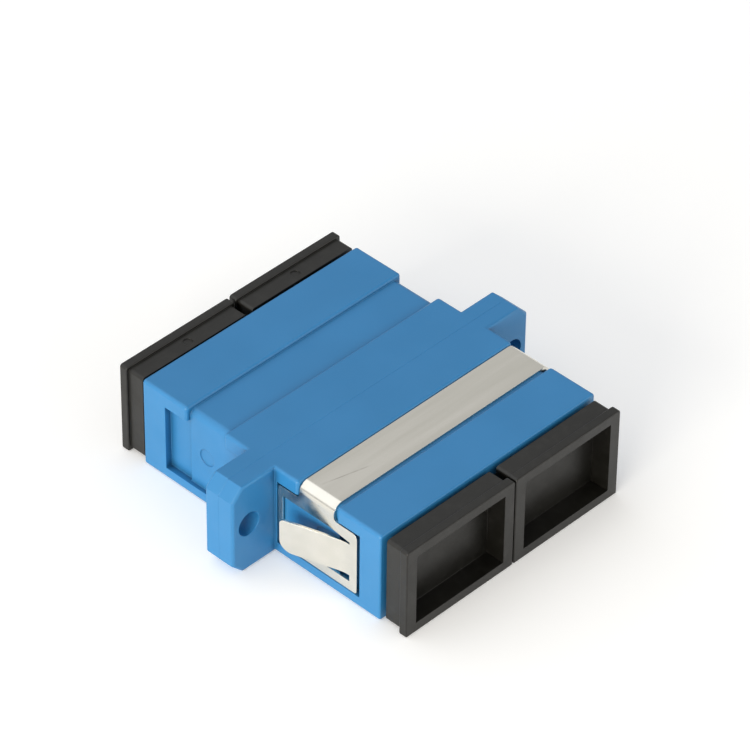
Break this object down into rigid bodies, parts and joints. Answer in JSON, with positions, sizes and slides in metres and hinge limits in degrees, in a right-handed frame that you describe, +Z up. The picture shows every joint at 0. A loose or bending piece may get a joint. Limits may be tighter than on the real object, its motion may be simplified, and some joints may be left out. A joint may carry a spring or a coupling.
{
  "type": "duplex sc fibre adapter",
  "caption": "Fibre adapter with side by side ports at both ends, a screw flange, a sheet steel panel clip and pull-off dust caps.",
  "frame": {"origin": "on the bottom face, midway across the width, at the seam between the two housing halves", "axes": "+X across the two ports to the right, seen from the clip's end; +Y from the front mouths to the rear mouths; +Z up from the face that the adapter lies on"},
  "size_m": [0.035, 0.0337, 0.0092],
  "materials": {
    "housing_blue": "satin moulded",
    "cap_black": "satin moulded",
    "clip_steel": "bright rolled",
    "latch_natural": "natural",
    "sleeve_ceramic": "polished"
  },
  "bodies": {
    "adapter": {"front_housing": "housing_blue", "rear_housing": "housing_blue", "panel_clip": "clip_steel", "latch_body_front_left": "latch_natural", "latch_body_front_right": "latch_natural", "latch_body_rear_left": "latch_natural", "latch_body_rear_right": "latch_natural", "split_sleeve_left": "sleeve_ceramic", "split_sleeve_right": "sleeve_ceramic"},
    "cap_front_left": {"dust_cap_front_left": "cap_black"},
    "cap_front_right": {"dust_cap_front_right": "cap_black"},
    "cap_rear_left": {"dust_cap_rear_left": "cap_black"},
    "cap_rear_right": {"dust_cap_rear_right": "cap_black"}
  },
  "joints": [
    {"name": "cap_front_left_pull", "type": "slide", "parent": "adapter", "child": "cap_front_left", "axis": [0, -1, 0], "range_m": [-0.00034, 0.00766]},
    {"name": "cap_front_right_pull", "type": "slide", "parent": "adapter", "child": "cap_front_right", "axis": [0, -1, 0], "range_m": [-0.00034, 0.00766]},
    {"name": "cap_rear_left_pull", "type": "slide", "parent": "adapter", "child": "cap_rear_left", "axis": [0, 1, 0], "range_m": [-0.00024, 0.00776]},
    {"name": "cap_rear_right_pull", "type": "slide", "parent": "adapter", "child": "cap_rear_right", "axis": [0, 1, 0], "range_m": [-0.00036, 0.00764]}
  ]
}
